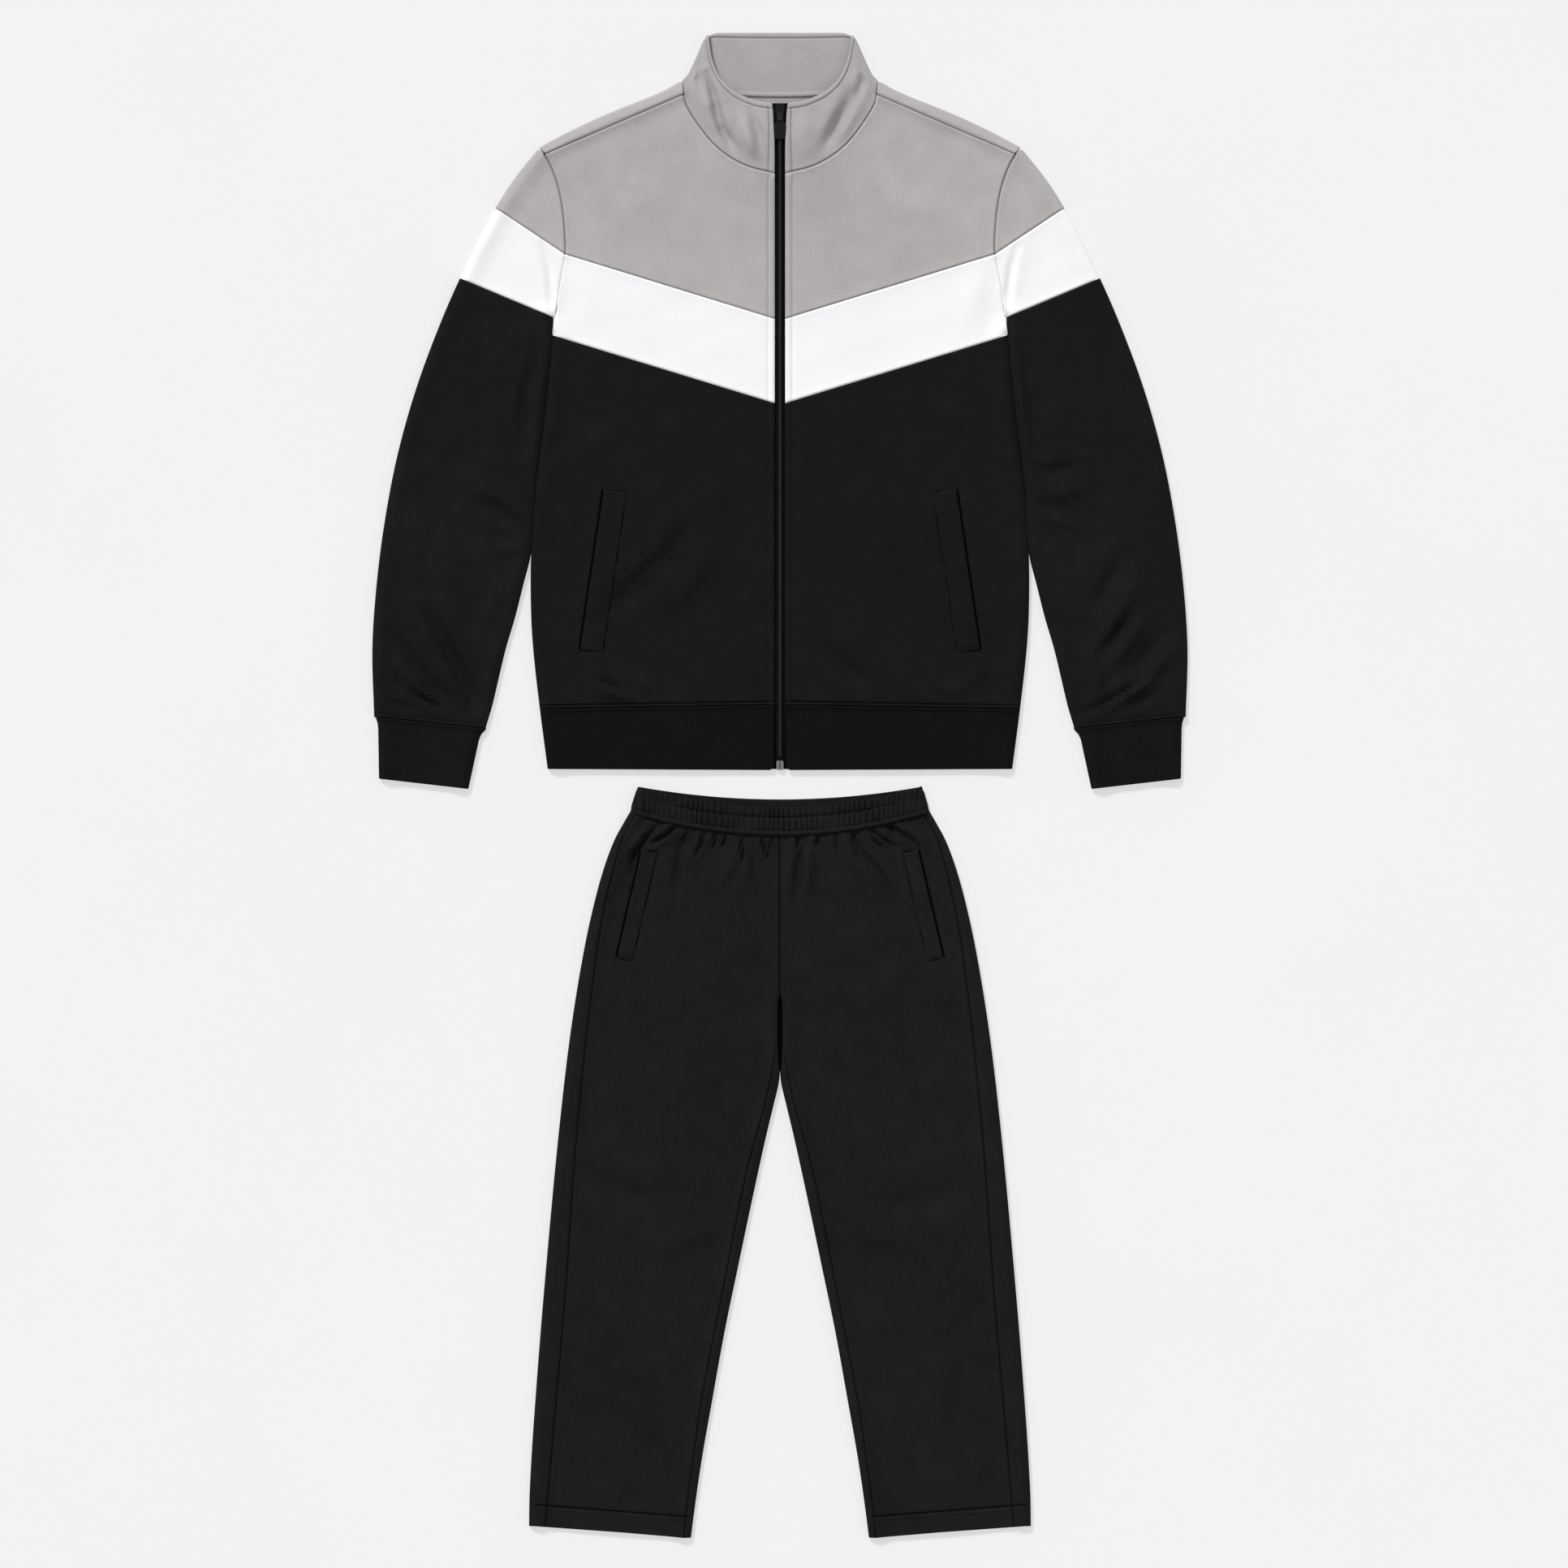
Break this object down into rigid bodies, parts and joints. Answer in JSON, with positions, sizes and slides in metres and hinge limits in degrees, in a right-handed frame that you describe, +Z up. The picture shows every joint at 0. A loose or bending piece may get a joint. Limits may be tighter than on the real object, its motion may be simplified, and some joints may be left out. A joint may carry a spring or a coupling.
{
  "type": "tracksuit",
  "caption": "Zip-up track jacket with stand collar and chevron colour blocks above matching track trousers, laid flat as a set.",
  "frame": {"origin": "middle of the laid-out set's footprint, on the surface it lies on", "axes": "+X across the set to the viewer's right, +Y up the set towards the collar, +Z up from the surface"},
  "size_m": [0.833, 1.5388, 0.0204],
  "materials": {
    "grey_knit": "smooth matt polyester knit, light grey",
    "white_knit": "smooth matt polyester knit, white",
    "black_knit": "smooth matt polyester knit, black",
    "black_rib": "ribbed knit, black",
    "grey_collar": "double smooth knit, light grey",
    "zip_tape": "woven tape over a closed coil, black",
    "zip_pull": "painted slider and moulded pull, black",
    "zip_metal": "dull grey metal",
    "trouser_knit": "smooth matt polyester knit, black",
    "trouser_waist": "knit gathered over elastic, black"
  },
  "bodies": {
    "suit": {"jacket_front_yoke_left": "grey_knit", "jacket_front_yoke_right": "grey_knit", "jacket_front_band_left": "white_knit", "jacket_front_band_right": "white_knit", "jacket_front_body_left": "black_knit", "jacket_front_body_right": "black_knit", "jacket_back_yoke": "grey_knit", "jacket_back_band": "white_knit", "jacket_back_body": "black_knit", "sleeve_cap_left": "grey_knit", "sleeve_cap_right": "grey_knit", "sleeve_band_left": "white_knit", "sleeve_band_right": "white_knit", "sleeve_lower_left": "black_knit", "sleeve_lower_right": "black_knit", "sleeve_cuff_left": "black_rib", "sleeve_cuff_right": "black_rib", "jacket_hem_band": "black_rib", "jacket_collar": "grey_collar", "zip_tape_left": "zip_tape", "zip_tape_right": "zip_tape", "jacket_pocket_welt_left": "black_knit", "jacket_pocket_welt_right": "black_knit", "zip_bottom_box": "zip_metal", "zip_slider": "zip_pull", "trouser_front_left": "trouser_knit", "trouser_front_right": "trouser_knit", "trouser_back_left": "trouser_knit", "trouser_back_right": "trouser_knit", "trouser_waistband": "trouser_waist", "trouser_pocket_welt_left": "trouser_knit", "trouser_pocket_welt_right": "trouser_knit"},
    "pull": {"zip_pull_tab": "zip_pull"}
  },
  "joints": [
    {"name": "pull_flip", "type": "hinge", "parent": "suit", "child": "pull", "pos_m": [0, 0.68251, 0.01769], "axis": [-1, 0, 0], "range_deg": [0, 165]}
  ]
}
